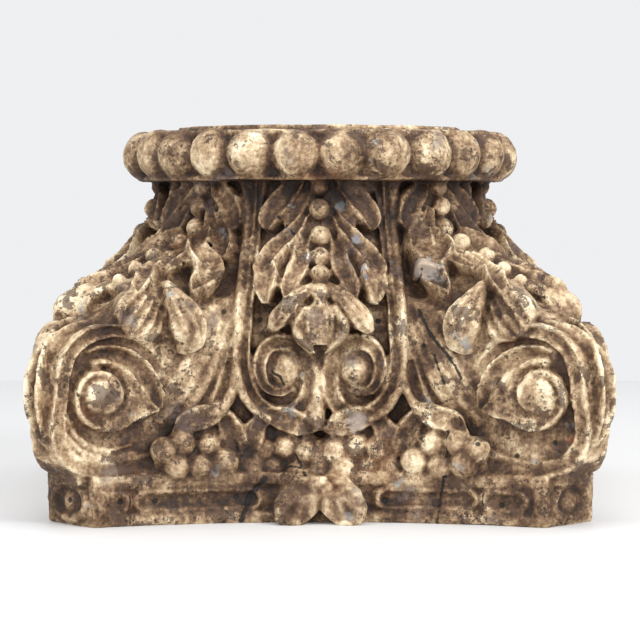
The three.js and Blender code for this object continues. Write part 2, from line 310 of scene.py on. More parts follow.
# %% Stacked outlines
def stack(bm, outlines):
    seat = bm.verts.layers.int["seat"]
    count = len(outlines[0])
    made = bmesh.ops.create_circle(bm, segments=count, radius=1, cap_ends=True)["verts"]
    for i, v in enumerate(made):
        v[seat] = i
        v.co = outlines[0][i]
    edges = list({e for v in made for e in v.link_edges})
    for outline in outlines[1:]:
        grown = bmesh.ops.extrude_edge_only(bm, edges=edges)["geom"]
        fresh = [g for g in grown if isinstance(g, bmesh.types.BMVert)]
        for v in fresh:
            v.co = outline[v[seat]]
        found = set(fresh)
        edges = [g for g in grown if isinstance(g, bmesh.types.BMEdge) and set(g.verts) <= found]
    bmesh.ops.edgeloop_fill(bm, edges=edges)


# %% The bell with its wedges
body = new_shape()
around = np.linspace(0, 2 * math.pi, 360, endpoint=False)
levels = [30.0, *np.arange(38, VOLUTE_TOP, 5.0), BELOW_TOP, *np.arange(VOLUTE_TOP + 1, 256, 4.0)]
outlines = []
for z in levels:
    r = block_radius(around, np.full_like(around, z))
    outlines.append(np.stack([r * np.cos(around), r * np.sin(around), np.full_like(around, z)], -1))
stack(body, outlines)
print("bell", len(body.verts), "points")

# %% [markdown]
# ## The abacus
# The slab under everything has four hollow sides and four cut corners. Its edge has a plain band
# at the foot, a sunk panel and a fascia.

# %% The abacus
ABACUS_PROFILE = [(0.8, 0), (0, 1), (0, 7), (1, 8), (3.4, 9), (3.8, 11), (3, 18), (3.6, 25),
                  (3, 27), (0.8, 28), (0, 29), (0, 35.5), (1.5, 37)]
ABACUS_HALF = 162
ABACUS_REACH = 200
HOLLOW = 32


def abacus_y(x, inset=0.0):
    return ABACUS_REACH - inset - HOLLOW * (1 - (x / ABACUS_HALF) ** 2)


def abacus_outline(inset, z, steps=28):
    rows = []
    for k in range(4):
        heading = FRONT + k * QUARTER
        out = np.array([math.cos(heading), math.sin(heading), 0])
        side = np.array([-math.sin(heading), math.cos(heading), 0])
        for share in np.linspace(-1, 1, steps):
            kept = inset * min(1, (1 - abs(share)) / 0.1)
            x = share * (ABACUS_HALF - kept / 2)
            rows.append(abacus_y(x, kept) * out + x * side + np.array([0, 0, z]))
    return np.array(rows)


stack(body, [abacus_outline(inset, z) for inset, z in ABACUS_PROFILE])


def on_abacus(x, z):
    inset = table([(z, i) for i, z in ABACUS_PROFILE], z)
    point = np.stack([x, -abacus_y(x, inset), z], -1)
    slope = 2 * HOLLOW * x / ABACUS_HALF ** 2
    normal = unit(np.stack([slope, -np.ones_like(x), 0 * x], -1))
    return point, normal


# %% [markdown]
# ## The neck ring
# Twenty-six beads stand round the neck on a thin fillet. Each is a ball set into a plain
# band, and a low round seat, which is a guess, closes the top.

# %% The neck ring
BEADS = 26
BEAD_REACH = 138.5
BEAD_LEVEL = 269.5
BEVEL = 1.2
BANDS = ((145.5, 250, 253), (142, 252, 286), (143.5, 283, 287.5), (112, 286, HEIGHT))
for outer, low, high in BANDS:
    rounded = [(-BEVEL, low), (0, low + BEVEL), (0, high - BEVEL), (-BEVEL, high)]
    stack(body, [np.stack([(outer + d) * np.cos(around), (outer + d) * np.sin(around),
                           np.full_like(around, z)], -1) for d, z in rounded])
wander = random.Random(4)
for k in range(BEADS):
    turn = FRONT + (k + 0.5) * 2 * math.pi / BEADS + wander.uniform(-0.012, 0.012)
    level = BEAD_LEVEL + wander.uniform(-0.7, 0.7)
    centre = (BEAD_REACH * math.cos(turn), BEAD_REACH * math.sin(turn), level)
    radii = (18.4 + wander.uniform(-0.9, 0.4), 19.2 + wander.uniform(-0.6, 0.4), 19)
    ball(body, centre, radii, turn, detail=4)
print("block", len(body.verts), "points")

# %% [markdown]
# ## One face
# The middle of each face carries an acanthus leaf with a midrib of beads, a fan-shaped bud at its
# tip, two stems that open under the neck, a pair of small scrolls, the helices, and two bunches
# of grapes with their leaves. The right half is drawn and the left half mirrors it.

# %% The middle leaf
face = new_shape()
LEAF_LIFT = [(140, 27), (150, 30), (158, 31), (167, 28), (176, 22), (186, 16), (197, 11), (211, 7),
             (232, 3), (250, 2)]


def leaf_point(x, z):
    bulge = table(LEAF_LIFT, z) * np.clip(1 - 0.5 * (x / 39) ** 2, 0.3, 1)
    return block_point(FRONT, x, z) + bulge[:, None] * OUT


def before_leaf(x, z):
    return leaf_point(x, z), np.broadcast_to(OUT, (len(x), 3))


on_leaf = surfaced(leaf_point, OUT)
LOBES = [([(12, 253, 0), (19, 244, 2), (28, 231, 3), (35, 219, 4), (37, 211, 3)], (3.5, 8, 10, 9, 3), 10),
         ([(9, 240, 0), (13, 231, 2), (19, 221, 3), (24, 213, 3)], (2, 4, 5, 4, 1.5), 6),
         ([(11, 222, 1), (19, 206, 4), (31, 189, 6), (38, 172, 7), (37, 159, 4)], (3, 6.5, 10, 9, 2.5), 11),
         ([(10, 205, 1), (15, 189, 3), (21, 174, 4), (25, 161, 3)], (3, 6.5, 8, 6.5, 1.5), 9)]
for side in (-1, 1):
    blade = [(7, 252, 0), (8, 225, 0), (9, 205, 0), (10, 185, 0), (9, 168, 0), (8, 157, -1)]
    ribbon(face, on_leaf, mirrored(side, blade), through((0, 6), (0.5, 8), (1, 10)), even(2.5), soft, sink=30)
    for line, width, height in LOBES:
        ribbon(face, on_leaf, mirrored(side, line), through(*zip((0, 0.25, 0.55, 0.85, 1), width)),
               even(height), leaflet, sink=26, steps=40, across=22)
    petal = [(6, 169, 3), (16, 163, 6), (26, 154, 8), (35, 141, 6)]
    ribbon(face, on_leaf, mirrored(side, petal), through((0, 5), (0.3, 6.5), (0.8, 7.5), (1, 3)), even(9),
           grooved, sink=30, across=20)
    petal = [(12, 158, 5), (18, 149, 6), (16, 137, 5), (5, 123, -1)]
    ribbon(face, on_leaf, mirrored(side, petal), through((0, 2), (0.5, 4), (1, 1.5)), even(9), soft, sink=28)
bead(face, before_leaf, 0, 145, -1, 16, 0.8)
bead(face, before_leaf, 0, 158, -3, 13, 0.7)
for k in range(-3, 4):
    rib = [(k * 1.6, 161, 7), (k * 4, 153, 11.5 - 0.35 * k * k), (k * 4.5, 144, 12 - 0.6 * k * k),
           (k * 2.2, 130, 7 - 0.3 * k * k)]
    ribbon(face, before_leaf, rib, through((0, 0.9), (0.5, 1.4), (1, 0.9)), even(4.6), soft, sink=9,
           steps=24, across=8)
MIDRIB = ((245.5, 7.2), (228.6, 8), (208.5, 8.2), (193, 7.8), (180.5, 7.6), (168.5, 6.8), (160.5, 5.4))
for z, radius in MIDRIB:
    bead(face, before_leaf, 0, z, 6.5 + 3 * (z < 190) + 3 * (z < 172), radius, 1)
print("leaf", len(face.verts), "points")

# %% [markdown]
# Each stem is a pair of ridges. The inner ridge runs down and curls into the helix; the outer one
# divides, and its branches end in the leaves over the two bunches of grapes.

# %% Stems and helices
HELIX = [(56, 128, 5), (55, 110, 6), (50.5, 93, 7), (41, 82, 8), (29, 77.5, 9), (17, 81, 10),
         (9.5, 91, 11), (7.5, 104, 11), (10, 118, 11), (18, 128.5, 11), (28, 131.5, 11), (38, 128, 11),
         (43.5, 118, 12), (43, 107, 13), (38, 97.5, 13), (29, 94.5, 12), (20, 98, 10)]
for side in (-1, 1):
    ground = [(27, 170, 2), (27, 140, 5), (27, 108, 7), (27, 80, 5)]
    ribbon(face, on_front, mirrored(side, ground), through((0, 18), (0.5, 27), (1, 20)), even(4), soft,
           sink=16)
    inner = [(44.5, 252, 0), (46, 225, 0), (48, 205, 1), (50.5, 175, 3), (53.5, 145, 5), *HELIX[1:]]
    ribbon(face, on_front, mirrored(side, inner),
           through((0, 4), (0.25, 3), (0.4, 4.5), (0.5, 7), (0.8, 6.8), (1, 3)),
           even(8), channel, sink=16, steps=130, across=20)
    outer = [(53, 252, 0), (54, 225, 0), (55.5, 205, 1), (58, 175, 3), (60.5, 145, 4), (61.5, 118, 5),
             (59.5, 103, 6), (54, 90, 9), (46, 80, 11), (36, 74, 11)]
    ribbon(face, on_front, mirrored(side, outer), even(3.6), even(9), soft, sink=14, steps=60, across=10)
    branch = [(61.5, 118, 4), (62.5, 104, 5), (65.5, 92, 6), (71, 84, 7), (80, 79, 6)]
    ribbon(face, on_front, mirrored(side, branch), even(3.4), even(8), soft, sink=12, steps=24, across=8)
    calyx = [(49, 254, 0), (49, 240, 1), (50, 228, 0), (51, 205, 0)]
    ribbon(face, on_front, mirrored(side, calyx), through((0, 13), (0.3, 9), (0.6, 5.5), (1, 4)), even(7),
           channel)
    bead(face, on_front, side * 27.5, 111, 11, 12.5, 0.8)
small = [(-1, 134, 10), (-2, 104, 11), (-2, 86, 13), (-2, 66, 12)]
ribbon(face, on_front, small, through((0, 2), (0.5, 3.5), (0.8, 6), (1, 4)), even(7), soft, sink=24)
print("stems", len(face.verts), "points")

# %% Grapes and their leaves
BERRIES = [(9, 50), (27, 54), (17, 36), (36, 38), (51, 39), (43, 53),
           (82, 59), (100, 60), (88, 42), (69, 44), (104, 44), (113, 55)]
LEAVES = [([(41, 78, 8), (30, 76, 13), (18, 72, 13), (3, 65, 9)], 10, 8),
          ([(41, 76, 8), (47, 68, 12), (51, 58, 12), (51, 44, 8)], 9.5, 8),
          ([(71, 80, 5), (66, 70, 8), (61, 60, 9), (57, 48, 6)], 9.5, 8),
          ([(70, 84, 5), (82, 78, 9), (95, 75, 9), (108, 66, 5)], 9, 8)]
for side in (-1, 1):
    for x, z in BERRIES:
        jig = wander.uniform(-1, 1)
        bead(face, on_front, side * x, z + jig, 10 + 1.5 * jig, 10 + 0.6 * jig, 1)
    for line, width, height in LEAVES:
        ribbon(face, on_front, mirrored(side, line), pointed(width), even(height), leaflet, sink=16)

for middle, spread in ((28, 30), (90, 30)):
    for side in (-1, 1):
        mound = [(side * (middle - spread), 50, 4), (side * middle, 50, 5), (side * (middle + spread), 50, 3)]
        ribbon(face, on_front, mound, through((0, 8), (0.3, 22), (0.7, 22), (1, 8)), even(6), soft, sink=14)

# %% The two leaves of the abacus flower
for side in (-1, 1):
    petal = [(side * 5, 37, -4), (side * 9, 29, 7), (side * 16, 16, 14), (side * 27, 0, 13)]
    ribbon(face, on_abacus, petal, through((0, 5), (0.25, 11), (0.6, 16), (0.85, 13), (1, 6)),
           through((0, 5), (0.5, 9), (1, 5)), veined, sink=30, steps=40, across=30)
ribbon(face, on_abacus, [(-1, 34, 6), (-1, 22, 9), (-1, 10, 8)], through((0, 6), (0.5, 6), (1, 2)), even(5),
       soft, sink=16)
ribbon(face, on_front, [(-1, 60, 11), (-1, 48, 13), (-1, 38, 13)], through((0, 3), (0.5, 8), (1, 6)),
       even(5), soft, sink=20)
print("face", len(face.verts), "points")

# %% [markdown]
# ## The volutes
# A strap with two raised edges comes down beside the helix, runs along the foot and round the
# outside, and rolls in over the top. Its end is a coil that stands higher turn by turn, like a
# snail, round a smooth boss. The strap is a ribbon, and the coil is a disc whose height depends
# on how far round and how far in a point is.

# %% Straps
def turned(turn, radius):
    angle = 2 * math.pi * turn
    return (EYE_X + radius * math.sin(angle) / STRETCH, EYE_Z - radius * math.cos(angle))


STRAP = [(58, 165, 2), (61, 145, 2), (67, 117, 1), (78, 84, 0), (96, 61, 0), (117, 48, 0),
         (137, 43, 0), *[(*turned(t, r), 0) for t, r in ((0, 54.5), (0.06, 53), (0.108, 47), (0.16, 37.5),
                                                         (0.24, 29.5), (0.33, 31.5), (0.4, 38), (0.47, 43.5),
                                                         (0.54, 47), (0.62, 50), (0.69, 52))]]
for side in (-1, 1):
    line = mirrored(side, STRAP)
    ribbon(face, on_volute, line, through((0, 4), (0.15, 6), (0.27, 8), (0.36, 9), (0.5, 7), (0.6, 6),
                                          (0.85, 6), (1, 0.8)),
           through((0, 5), (0.36, 5), (0.45, 3.6), (0.6, 4), (0.85, 8), (1, 2)),
           channel, sink=9, steps=160, across=20)
    for out_by, rise in ((2, 3), (8, 3.5)) if side < 0 else ():
        flute = [(side * turned(t, r + out_by)[0], turned(t, r + out_by)[1], 0)
                 for t, r in ((-0.09, 42), (0, 38.5), (0.06, 34.5), (0.12, 30), (0.17, 26))]
        ribbon(face, on_volute, flute, through((0, 1), (0.4, 2.6), (1, 1)), even(rise), soft, sink=6, steps=50,
               across=10)
    for shift, rise, width in ((12, 4.5, 5), (23, 4, 6), (34, 3.5, 6)):
        stalk = [(side * (59 + shift * 0.4), 163, -9), (side * (62 + shift * 0.62), 140, 0),
                 (side * (69 + shift * 0.85), 114, 1), (side * (79 + shift), 92, 0),
                 (side * (94 + shift), 73, -2)]
        ribbon(face, on_volute, stalk, through((0, width * 0.5), (0.6, width), (1, width * 0.7)), even(rise),
               soft, sink=6, steps=40, across=12)

# %% Coils
COIL_EDGE = [(0.45, 33), (0.5, 35), (0.62, 40), (0.7, 44), (0.745, 46), (0.79, 46), (0.82, 38), (0.86, 30),
             (0.95, 27.5), (1.09, 24.5), (1.25, 21), (1.4, 19.5), (1.5, 18), (1.6, 16.5), (1.75, 15),
             (2, 14.5)]
CREST = [(0.4, 22), (0.5, 24), (0.6, 24), (0.71, 27), (0.775, 35), (0.8, 45)]
STRAP_INNER = [(0, 49), (0.12, 47), (0.25, 36), (0.45, 41), (1, 0)]
COIL_LEVEL = [(0.45, 4), (0.75, 9), (1, 11.5), (1.25, 12), (2, 12)]


def coil_height(radius, turn):
    inner = table(COIL_EDGE, turn + 1)
    band = table(COIL_EDGE, np.maximum(turn, 0.45))
    boss = table(COIL_LEVEL, turn + 1) + 6 * np.sqrt(np.maximum(1 - (radius / 14.5) ** 2, 0)) - 2
    boss += 2.6 * np.exp(-(((radius - inner + 2.2) / 1.9) ** 2))
    boss -= 3 * np.exp(-(((radius - inner + 6) / 1.5) ** 2)) * (inner > 17.5)
    share = np.clip((radius - inner) / np.maximum(band - inner, 1), 0, 1)
    flare = table(COIL_LEVEL, turn) + 3 - 2 * np.sin(np.pi * np.clip(share, 0, 1)) ** 0.8
    crest = table(CREST, turn)
    past = np.clip((radius - crest) / np.maximum(band - crest, 1), 0, 1) * (turn < 0.8)
    flare += (turn < 0.81) * 4 * np.exp(-(((radius - crest) / 2.4) ** 2)) - 6.5 * np.sin(np.pi * past) ** 0.8
    flare -= 8 * np.exp(-(((radius - inner) / 2.2) ** 2))
    open_side = (turn >= 0.45) & (radius < band)
    hollow = -1.5 - 3 * np.exp(-(((radius - inner) / 5) ** 2))
    inside = radius < table(STRAP_INNER, turn)
    return np.where(radius < inner, boss, np.where(open_side, flare, np.where(inside, hollow, -9)))


def coil(bm, side, rounds=180, rows=60, outer=54.0):
    made = bmesh.ops.create_grid(bm, x_segments=rounds, y_segments=rows, size=1)["verts"]
    seat = bm.verts.layers.int["seat"]
    turn = np.array([(v.co.x + 1) / 2 for v in made]) % 1.0
    radius = np.array([(v.co.y + 1) / 2 * outer for v in made])
    rise = coil_height(radius, turn)
    x = side * (EYE_X + radius * np.sin(2 * math.pi * turn) / STRETCH)
    z = EYE_Z - radius * np.cos(2 * math.pi * turn)
    point, normal = on_volute(x, z)
    top = point + normal * rise[:, None]
    foot = point - normal * 12
    for i, v in enumerate(made):
        v[seat] = i
        v.co = top[i]
    merged = bmesh.ops.remove_doubles(bm, verts=made, dist=0.02)
    made = [v for v in made if v.is_valid]
    faces = list({f for v in made for f in v.link_faces})
    copied = bmesh.ops.extrude_face_region(bm, geom=faces, use_keep_orig=True)["geom"]
    for v in copied:
        if isinstance(v, bmesh.types.BMVert):
            v.co = foot[v[seat]]


for side in (-1, 1):
    coil(face, side)
print("face with volutes", len(face.verts), "points")

# %% [markdown]
# ## The carving on the abacus edge
# Thin raised outlines frame round-ended panels, and a small roll closes each end of a side.

# %% Panel outlines
for side in (-1, 1):
    for start, end in ((42, 113), (118, 148)) if side > 0 else ((44, 132), (138, 155)):
        rim = 6.0
        loop = [(start + rim, 24.5), (start + 9, 24.5), (end - 9, 24.5), (end - rim, 24.5), (end - 1, 21),
                (end, 17.5), (end - 1, 14), (end - rim, 11), (end - 9, 11), (start + 9, 11), (start + rim, 11),
                (start + 1, 14), (start, 17.5), (start + 1, 21), (start + rim, 24.5)]
        ribbon(face, on_abacus, [(side * x, z, 0) for x, z in loop], even(2.3), even(4), soft, sink=4,
               steps=110, across=7)
    roll = [(side * 157, 28, 0), (side * 158, 17, 1), (side * 157, 8, 0)]
    ribbon(face, on_abacus, roll, even(4.5), even(4), soft, sink=5, steps=16, across=10)
print("face done", len(face.verts), "points")

# %% [markdown]
# ## One corner
# A second acanthus leaf covers each diagonal. Its head curls forward over the volute, and its
# side lobes roll into two bulbs with deep shadow under them.

# %% The corner leaf
corner = new_shape()
for side in (-1, 1):
    blade = [(9, 250, 1), (10, 225, 1), (11, 205, 2), (12, 185, 4), (12, 172, 6), (12, 163, 8)]
    ribbon(corner, on_corner, mirrored(side, blade), through((0, 8), (0.5, 9), (1, 11)), even(3), soft,
           sink=14)
    lobes = (([(10, 251, 1), (16, 243, 3), (27, 232, 5), (35, 219, 7), (36, 212, 7)], 10.5, 9),
             ([(11, 236, 1), (14, 226, 2), (17, 214, 3), (18, 203, 3)], 5.5, 7),
             ([(11, 229, 3), (18, 215, 6), (30, 202, 8), (40, 186, 10)], 10.5, 10),
             ([(11, 213, 3), (16, 202, 4), (20, 189, 5), (21, 178, 5)], 6, 8),
             ([(12, 206, 5), (20, 191, 8), (33, 175, 11), (46, 155, 13)], 12.5, 11),
             ([(11, 190, 5), (15, 180, 7), (22, 168, 10), (28, 157, 12)], 8, 9))
    for line, width, height in lobes:
        breadth = through((0, 0.35 * width), (0.3, 0.8 * width), (0.62, width), (0.88, 0.7 * width),
                          (1, 0.15 * width))
        ribbon(corner, on_corner, mirrored(side, line), breadth, even(height), leaflet, sink=12, across=18)
for z, radius in ((244, 7), (228.5, 7.6), (212.7, 7.6), (197, 7.4), (184.6, 6.8), (175.3, 6), (167, 5.2)):
    bead(corner, on_corner, 0, z, 7 if z > 190 else 10, radius, 1)

# %% The curled head
face_top = new_shape()
diagonal = np.array([math.cos(CORNER), math.sin(CORNER), 0])
athwart = np.array([-math.sin(CORNER), math.cos(CORNER), 0])


def over_volute(w, s):
    reach = table([(0, 148), (0.3, 168), (0.55, 188), (0.8, 205), (1, 214)], s) - 0.25 * np.abs(w)
    height = table([(0, 184), (0.3, 176), (0.55, 168), (0.8, 159), (1, 146)], s) - 0.012 * w * w
    point = reach[:, None] * diagonal + w[:, None] * athwart + height[:, None] * np.array([0, 0, 1.0])
    tilt = table([(0, 0.8), (0.5, 0.35), (0.8, 0.55), (1, 0.9)], s)
    normal = unit(tilt[:, None] * diagonal + np.sqrt(1 - tilt ** 2)[:, None] * np.array([0, 0, 1.0])
                  + 0.012 * w[:, None] * athwart)
    return point, normal


ribbon(corner, over_volute, [(0, 0.0), (0, 0.3), (0, 0.6), (0, 0.85), (0, 1.0)],
       through((0, 12), (0.4, 21), (0.7, 21), (0.9, 15), (1, 6)), through((0, 6), (0.8, 9), (1, 5)), fluted,
       sink=through((0, 18), (0.7, 14), (1, 5)), steps=50, across=40)
for side in (-1, 1):
    curl = [(side * 12, 0.0), (side * 24, 0.2), (side * 33, 0.5), (side * 36, 0.85)]
    ribbon(corner, over_volute, curl, through((0, 5), (0.5, 11), (0.85, 9), (1, 4)),
           through((0, 6), (0.7, 9), (1, 5)), grooved, sink=through((0, 20), (0.6, 14), (1, 3)),
           steps=36, across=18)
for side in (-1, 1):
    shift = 7 if side > 0 else 0
    fan = [(side * (110 + shift), 175, -24), (side * (120 + shift), 163, -8), (side * (130 + shift), 151, 3),
           (side * (139 + shift), 138, 4)]
    ribbon(face_top, on_volute, fan, through((0, 6), (0.4, 15), (0.7, 20), (0.9, 18), (1, 7)),
           through((0, 6), (0.6, 9), (1, 5)), ribbed, sink=24, steps=50, across=60)
    roll = [(side * (108 + shift), 176, -12), (side * (105 + shift), 163, 3), (side * (100 + shift), 150, 11),
            (side * (98 + shift), 137, 12), (side * (102 + shift), 124, 4)]
    ribbon(face_top, on_volute, roll, through((0, 3), (0.3, 9), (0.6, 14), (0.85, 11), (1, 3)),
           through((0, 6), (0.6, 10), (1, 5)), folded, sink=through((0, 24), (0.7, 22), (1, 8)),
           steps=44, across=32)
print("corner", len(corner.verts), "points")

# %% The cut corners of the abacus
CUT_REACH = 255.5


def on_cut(w, z):
    point = CUT_REACH * diagonal + w[:, None] * athwart + z[:, None] * np.array([0, 0, 1.0])
    return point, np.broadcast_to(diagonal, (len(w), 3))


oval = [(18 * math.cos(k * math.pi / 8), 17.5 + 12.5 * math.sin(k * math.pi / 8), 0) for k in range(17)]
ribbon(corner, on_cut, oval, even(3.4), even(4), soft, sink=4, steps=60, across=9)
bead(corner, on_cut, 0, 17.5, -1, 8, 0.45)

# %% [markdown]
# ## The broken leaf
# At the right of the front a leaf has lost its tip and ends in a square break. It is one ribbon
# with a blunt section, with a short scrap of leaf under the ring, and is on the front only.

# %% The broken leaf on the front
broken = new_shape()
ribbon(broken, on_face, [(71, 216, 3), (73, 202, 8), (75, 186, 13), (76, 168, 17)],
       through((0, 5), (0.4, 10), (1, 11)), even(7), blunt, sink=12, steps=40, across=20)
ribbon(broken, on_face, [(12, 247, 3), (24, 243, 5), (38, 246, 4)], even(6), even(6), grooved, sink=10)

# %% [markdown]
# ## Fusing the block
# Four turns of the face and of the corner go round the bell. The back and sides can't be seen, so
# they repeat the front. All shells overlap, and a voxel remesh keeps only their common outer
# skin, which is what carving from one block gives.

# %% All four sides
everything = bmesh.new()
for shape, turns in ((body, 1), (face, 4), (face_top, 4), (corner, 4), (broken, 1)):
    sheet = bpy.data.meshes.new("shape")
    shape.to_mesh(sheet)
    shape.free()
    for k in range(turns):
        sheet_turn = sheet.copy()
        sheet_turn.transform(Matrix.Rotation(k * QUARTER, 4, "Z"))
        everything.from_mesh(sheet_turn)
bmesh.ops.scale(everything, vec=(MM, MM, MM), verts=everything.verts)
bmesh.ops.recalc_face_normals(everything, faces=everything.faces)
rough = bpy.data.meshes.new("capital_rough")
everything.to_mesh(rough)
everything.free()
piece = bpy.data.objects.new("capital_carved", rough)
scene.collection.objects.link(piece)
print("shells", len(rough.vertices), "points")

# %% One skin
VOXEL = 0.0014
skin = piece.modifiers.new("one skin", "REMESH")
skin.mode = "VOXEL"
skin.voxel_size = VOXEL
ease = piece.modifiers.new("soften", "SMOOTH")
ease.factor = 0.5
ease.iterations = 1
bpy.context.view_layer.update()
dense = bpy.data.meshes.new_from_object(piece.evaluated_get(bpy.context.evaluated_depsgraph_get()))
piece.modifiers.clear()
piece.data = dense
print("skin", len(dense.vertices), "points", len(dense.polygons), "faces")

# %% [markdown]
# ## Wear
# Hand carving is never even, so a slow noise moves the surface a little, and a quicker one
# roughens it. It is the same all over: single chips aren't copied.

# %% Hand work and wear
SLOW_DEPTH = 0.0012
QUICK_DEPTH = 0.00045
count = len(dense.vertices)
co = np.empty(count * 3, np.float32)
no = np.empty(count * 3, np.float32)
dense.vertices.foreach_get("co", co)
dense.vertices.foreach_get("normal", no)
co, no = co.reshape(-1, 3).astype(float), no.reshape(-1, 3).astype(float)
slow = np.array([noise.noise(Vector(p) * 38) for p in co])
quick = np.array([noise.noise(Vector(p) * 170) for p in co])
co += no * (slow * SLOW_DEPTH + quick * QUICK_DEPTH)[:, None]
co[:, 2] = np.clip(co[:, 2], 0, HEIGHT * MM)
dense.vertices.foreach_set("co", co.astype(np.float32).ravel())
dense.update()

# %% Thinning
MOST_TRIANGLES = 194000
triangles = sum(len(p.vertices) - 2 for p in dense.polygons)
thin = piece.modifiers.new("thin", "DECIMATE")
thin.ratio = min(1, MOST_TRIANGLES / triangles)
bpy.context.view_layer.update()
final = bpy.data.meshes.new_from_object(piece.evaluated_get(bpy.context.evaluated_depsgraph_get()))
piece.modifiers.clear()
piece.data = final
final.name = "capital_carved"
for polygon in final.polygons:
    polygon.use_smooth = True
print("thinned", sum(len(p.vertices) - 2 for p in final.polygons), "triangles")

# %% [markdown]
# ## Where painted shade and dirt lie, and where hands rub and light catches
# Hollows are darkened for dirt and as painted shade, and edges are made pale for worn paint and as a
# painted highlight. Both are measured on the mesh once and stored as point attributes: how shut
# in a point is, from short rays, and how far it stands out from its neighbours.

# %% Hollows and edges
count = len(final.vertices)
co = np.empty(count * 3, np.float32)
no = np.empty(count * 3, np.float32)
final.vertices.foreach_get("co", co)
final.vertices.foreach_get("normal", no)
co, no = co.reshape(-1, 3).astype(float), no.reshape(-1, 3).astype(float)
ends = np.empty(len(final.edges) * 2, np.int32)
final.edges.foreach_get("vertices", ends)
ends = ends.reshape(-1, 2)
links = np.bincount(ends.ravel(), minlength=count)


def averaged(values):
    total = np.zeros_like(values)
    for axis in range(values.shape[1]):
        total[:, axis] = (np.bincount(ends[:, 0], values[ends[:, 1], axis], count)
                          + np.bincount(ends[:, 1], values[ends[:, 0], axis], count))
    return total / np.maximum(links, 1)[:, None]


near = co.copy()
for _ in range(3):
    near = averaged(near)
edge = np.einsum("ij,ij->i", co - near, no) / MM
wide = near.copy()
for _ in range(14):
    wide = averaged(wide)
swell = np.einsum("ij,ij->i", co - wide, no) / MM

tree = BVHTree.FromPolygons([Vector(p) for p in co], [tuple(p.vertices) for p in final.polygons])
golden = math.pi * (3 - math.sqrt(5))
DIRECTIONS = 12
rays = np.array([(math.cos(golden * i) * math.sqrt(1 - ((i + 0.5) / DIRECTIONS) ** 2),
                  math.sin(golden * i) * math.sqrt(1 - ((i + 0.5) / DIRECTIONS) ** 2),
                  (i + 0.5) / DIRECTIONS) for i in range(DIRECTIONS)])
helper = np.where(np.abs(no[:, 2:3]) < 0.9, np.array([[0, 0, 1.0]]), np.array([[1.0, 0, 0]]))
ta = unit(np.cross(helper, no))
tb = np.cross(no, ta)
shut = np.zeros(count)
OFF_THE_SKIN = 0.0006
REACH_OF_RAYS = 0.035
starts = co + no * OFF_THE_SKIN
for ray in rays:
    aim = ray[0] * ta + ray[1] * tb + ray[2] * no
    for i in range(count):
        hit = tree.ray_cast(starts[i], aim[i], REACH_OF_RAYS)[3]
        if hit is not None:
            shut[i] += 1 - hit / REACH_OF_RAYS
shut = averaged((shut / DIRECTIONS)[:, None])[:, 0]


def graded(values):
    low, middle, high = np.percentile(values, (4, 50, 96))
    reach = np.where(values < middle, middle - low, high - middle)
    return np.clip((values - middle) / reach, -1.3, 1.3)


for name, values in (("shut", graded(shut)), ("edge", graded(edge)), ("swell", graded(swell))):
    layer = final.attributes.new(name, "FLOAT", "POINT")
    layer.data.foreach_set("value", values.astype(np.float32))
    print(name, np.percentile(values, (5, 50, 95)).round(3))

# %% [markdown]
# ## Finish
# The wood was painted ivory, waxed and worn. In the hollows it is dark umber, for dirt and as
# painted shade; on the edges pale, for wear and as a painted highlight; and between them tan, with
# grey and rust-coloured patches, fine pits and small cracks.

# %% Node helpers
def link(tree_, a, b):
    tree_.links.new(a, b)


def node(tree_, kind, **values):
    made = tree_.nodes.new(kind)
    for key, value in values.items():
        setattr(made, key, value)
    return made


def ramp(tree_, source, stops):
    made = node(tree_, "ShaderNodeValToRGB")
    link(tree_, source, made.inputs["Fac"])
    band = made.color_ramp
    while len(band.elements) < len(stops):
        band.elements.new(0.5)
    for element, (at, colour) in zip(band.elements, stops):
        element.position = at
        element.color = (*colour, 1)
    return made.outputs["Color"]


def srgb(r, g, b):
    return tuple(((v / 255 + 0.055) / 1.055) ** 2.4 if v > 10 else v / 255 / 12.92 for v in (r, g, b))


def span(tree_, source, low, high, to_low=0.0, to_high=1.0):
    made = node(tree_, "ShaderNodeMapRange", interpolation_type="SMOOTHSTEP")
    link(tree_, source, made.inputs["Value"])
    for key, value in (("From Min", low), ("From Max", high), ("To Min", to_low), ("To Max", to_high)):
        made.inputs[key].default_value = value
    return made.outputs["Result"]


def maths(tree_, operation, a, b):
    made = node(tree_, "ShaderNodeMath", operation=operation)
    for i, value in enumerate((a, b)):
        if isinstance(value, (int, float)):
            made.inputs[i].default_value = value
        else:
            link(tree_, value, made.inputs[i])
    return made.outputs[0]


def blend(tree_, share, a, b):
    made = node(tree_, "ShaderNodeMix", data_type="RGBA")
    sockets = {s.identifier: s for s in made.inputs}
    for key, value in (("Factor_Float", share), ("A_Color", a), ("B_Color", b)):
        if isinstance(value, (int, float)):
            sockets[key].default_value = value
        elif isinstance(value, tuple):
            sockets[key].default_value = (*value[:3], 1)
        else:
            link(tree_, value, sockets[key])
    return {s.identifier: s for s in made.outputs}["Result_Color"]


def speckle(tree_, vector, scale, detail=4.0, rough=0.6, stretch=None):
    if stretch:
        mapping = node(tree_, "ShaderNodeMapping")
        link(tree_, vector, mapping.inputs["Vector"])
        mapping.inputs["Scale"].default_value = stretch
        vector = mapping.outputs["Vector"]
    made = node(tree_, "ShaderNodeTexNoise")
    link(tree_, vector, made.inputs["Vector"])
    made.inputs["Scale"].default_value = scale
    made.inputs["Detail"].default_value = detail
    made.inputs["Roughness"].default_value = rough
    return made.outputs["Fac"]


# %% Painted wood
paint = bpy.data.materials.new("worn_ivory_paint")
paint.use_nodes = True
tree_ = paint.node_tree
shader = tree_.nodes["Principled BSDF"]
where = node(tree_, "ShaderNodeTexCoord").outputs["Object"]
shut_in = node(tree_, "ShaderNodeAttribute", attribute_name="shut").outputs["Fac"]
edge_in = node(tree_, "ShaderNodeAttribute", attribute_name="edge").outputs["Fac"]
swell_in = node(tree_, "ShaderNodeAttribute", attribute_name="swell").outputs["Fac"]

